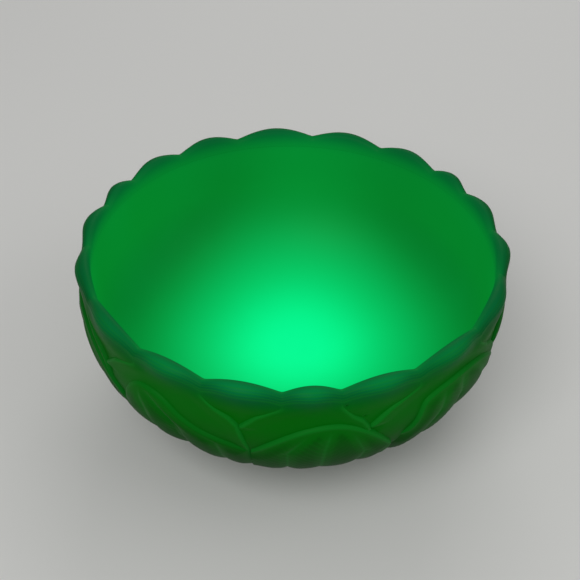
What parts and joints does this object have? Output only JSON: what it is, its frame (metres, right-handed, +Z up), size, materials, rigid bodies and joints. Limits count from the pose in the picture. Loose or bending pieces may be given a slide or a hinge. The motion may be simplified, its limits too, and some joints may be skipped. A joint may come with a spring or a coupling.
{
  "type": "pressed glass bowl",
  "caption": "Round bowl of satin green uranium glass with a scalloped rim, overlapping petals outside, a smooth inside and a low foot ring.",
  "frame": {"origin": "on the bowl's axis, at the foot ring's resting plane", "axes": "+Z up along the bowl's axis; the mould's pattern repeats every 120 degrees about it; -Y is the side that the picture was taken from"},
  "size_m": [0.2282, 0.2288, 0.1086],
  "materials": {
    "inner_glass": "satin, dense translucent, glows green in ultraviolet light",
    "petal_glass": "satin, dense translucent, glows green in ultraviolet light"
  },
  "bodies": {
    "root": {"bowl_wall": "inner_glass", "bowl_floor": "inner_glass", "foot_ring": "petal_glass", "front_petal_1": "petal_glass", "front_petal_2": "petal_glass", "front_petal_3": "petal_glass", "front_petal_4": "petal_glass", "front_petal_5": "petal_glass", "front_petal_6": "petal_glass", "front_petal_7": "petal_glass", "front_petal_8": "petal_glass", "front_petal_9": "petal_glass", "back_petal_1": "petal_glass", "back_petal_2": "petal_glass", "back_petal_3": "petal_glass", "back_petal_4": "petal_glass", "back_petal_5": "petal_glass", "back_petal_6": "petal_glass", "back_petal_7": "petal_glass", "back_petal_8": "petal_glass", "back_petal_9": "petal_glass", "lower_petal_1": "petal_glass", "lower_petal_2": "petal_glass", "lower_petal_3": "petal_glass", "lower_petal_4": "petal_glass", "lower_petal_5": "petal_glass", "lower_petal_6": "petal_glass", "lower_petal_7": "petal_glass", "lower_petal_8": "petal_glass", "lower_petal_9": "petal_glass"}
  },
  "joints": []
}
